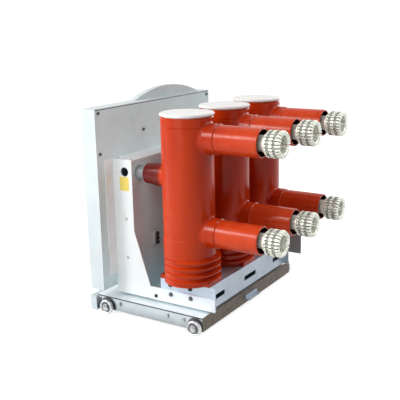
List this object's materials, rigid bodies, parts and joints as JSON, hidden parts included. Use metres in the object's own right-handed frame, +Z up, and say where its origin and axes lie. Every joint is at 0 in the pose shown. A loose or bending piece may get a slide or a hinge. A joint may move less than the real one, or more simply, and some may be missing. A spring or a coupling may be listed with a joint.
{
  "type": "truck-mounted indoor vacuum circuit breaker",
  "caption": "Withdrawable medium-voltage vacuum circuit breaker: upright epoxy poles with horizontal contact arms on a sheet-metal housing, base and wheeled truck.",
  "frame": {"origin": "on the ground under the middle of the overall box", "axes": "+Z up, +Y along the contact arms away from the operator's panel, X across the phases"},
  "size_m": [0.628, 0.6804, 0.678],
  "materials": {
    "cap_white": "white moulded plastic, slightly glossy",
    "pole_epoxy": "orange-red cast epoxy, semi-gloss",
    "sleeve_epoxy": "lighter orange-red moulded sleeve, semi-gloss",
    "conductor": "silver-plated copper",
    "contact_silver": "silver-plated copper fingers, lightly tarnished",
    "wheel_steel": "turned steel",
    "housing_paint": "white powder coat",
    "cover_plastic": "light grey moulded cover",
    "window_plastic": "dark glossy window",
    "button_plastic": "dark grey plastic",
    "beam_steel": "dull plated steel",
    "bracket_paint": "dark grey paint",
    "zinc_steel": "bluish zinc-plated sheet"
  },
  "bodies": {
    "chassis": {"base_floor": "housing_paint", "charging_socket": "zinc_steel", "conductor_lower_a": "conductor", "conductor_lower_b": "conductor", "conductor_lower_c": "conductor", "conductor_upper_a": "conductor", "conductor_upper_b": "conductor", "conductor_upper_c": "conductor", "crossbeam": "zinc_steel", "front_cover": "cover_plastic", "front_panel": "housing_paint", "housing_lid": "housing_paint", "housing_rear_wall": "housing_paint", "indicator_windows": "window_plastic", "mounting_pads": "zinc_steel", "panel_back": "housing_paint", "panel_crest": "housing_paint", "pole_a": "pole_epoxy", "pole_b": "pole_epoxy", "pole_c": "pole_epoxy", "pole_cap_a": "cap_white", "pole_cap_b": "cap_white", "pole_cap_c": "cap_white", "pole_carrier": "zinc_steel", "pole_struts": "zinc_steel", "pull_handles": "zinc_steel", "push_buttons": "button_plastic", "racking_screw": "zinc_steel", "racking_socket": "zinc_steel", "rear_tab": "zinc_steel", "screw_bearings": "zinc_steel", "side_bracket": "bracket_paint", "side_plate_left": "housing_paint", "side_plate_right": "housing_paint", "sleeve_lower_a": "sleeve_epoxy", "sleeve_lower_b": "sleeve_epoxy", "sleeve_lower_c": "sleeve_epoxy", "sleeve_upper_a": "sleeve_epoxy", "sleeve_upper_b": "sleeve_epoxy", "sleeve_upper_c": "sleeve_epoxy", "truck_bed": "zinc_steel", "truck_rear_beam": "beam_steel", "tulip_lower_a": "contact_silver", "tulip_lower_b": "contact_silver", "tulip_lower_c": "contact_silver", "tulip_upper_a": "contact_silver", "tulip_upper_b": "contact_silver", "tulip_upper_c": "contact_silver", "wheel_axles": "zinc_steel"},
    "wheel_front_right": {"wheel_front_right": "wheel_steel"},
    "wheel_front_left": {"wheel_front_left": "wheel_steel"},
    "wheel_rear_right": {"wheel_rear_right": "wheel_steel"},
    "wheel_rear_left": {"wheel_rear_left": "wheel_steel"}
  },
  "joints": [
    {"name": "wheel_front_right_spin", "type": "hinge", "parent": "chassis", "child": "wheel_front_right", "pos_m": [0.298, -0.22925, 0.023], "axis": [1, 0, 0], "continuous": true},
    {"name": "wheel_front_left_spin", "type": "hinge", "parent": "chassis", "child": "wheel_front_left", "pos_m": [-0.298, -0.22925, 0.023], "axis": [1, 0, 0], "continuous": true},
    {"name": "wheel_rear_right_spin", "type": "hinge", "parent": "chassis", "child": "wheel_rear_right", "pos_m": [0.298, 0.09675, 0.023], "axis": [1, 0, 0], "continuous": true},
    {"name": "wheel_rear_left_spin", "type": "hinge", "parent": "chassis", "child": "wheel_rear_left", "pos_m": [-0.298, 0.09675, 0.023], "axis": [1, 0, 0], "continuous": true}
  ]
}
